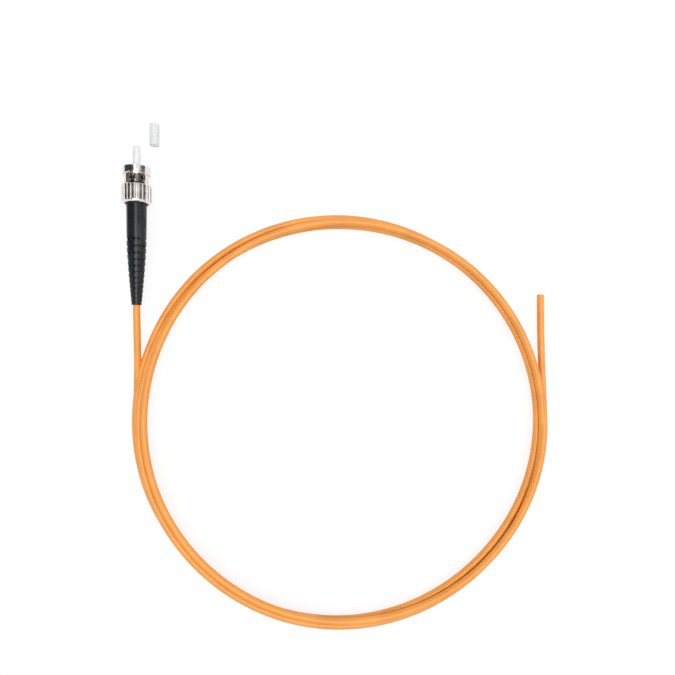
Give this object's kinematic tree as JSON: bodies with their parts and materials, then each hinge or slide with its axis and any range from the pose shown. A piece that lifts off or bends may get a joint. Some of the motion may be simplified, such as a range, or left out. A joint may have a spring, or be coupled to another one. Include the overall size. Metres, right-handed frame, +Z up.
{
  "type": "st fibre connector",
  "caption": "Bayonet fibre connector with ceramic ferrule, sprung coupling nut and slotted boot, on a coiled simplex cable, with its dust cap beside it.",
  "frame": {"origin": "centre of the ferrule's polished end face", "axes": "+Y along the connector's axis, out of the ferrule's end face; +Z up from the surface it lies on; +X to the right, towards the cable coil"},
  "size_m": [0.1465, 0.1759, 0.0096],
  "materials": {
    "zirconia": "polished",
    "fibre_glass": "polished",
    "white_buffer": "satin",
    "aramid": "fibrous",
    "nickel_plate": "nickel plated, bright",
    "spring_steel": "drawn wire",
    "black_boot": "satin moulded",
    "clear_cap": "translucent moulded",
    "orange_jacket": "satin extruded"
  },
  "bodies": {
    "connector": {"ferrule": "zirconia", "glass_fibre": "fibre_glass", "tight_buffer": "white_buffer", "aramid_yarn": "aramid", "connector_body": "nickel_plate", "spring": "spring_steel", "retaining_ring": "spring_steel", "crimp_sleeve": "nickel_plate", "boot": "black_boot", "dust_cap": "clear_cap", "cable_lead": "orange_jacket", "cable_coil": "orange_jacket", "cable_tail": "orange_jacket"},
    "washer": {"spring_washer": "nickel_plate"},
    "nut": {"bayonet_nut": "nickel_plate"}
  },
  "joints": [
    {"name": "nut_push", "type": "slide", "parent": "connector", "child": "washer", "axis": [0, 1, 0], "range_m": [0, 0.002], "stiffness_N_per_m": 2000, "springref_m": -0.0015, "deforming": ["spring"]},
    {"name": "nut_turn", "type": "hinge", "parent": "washer", "child": "nut", "pos_m": [0, -0.0137, 0], "axis": [0, 1, 0], "continuous": true}
  ]
}
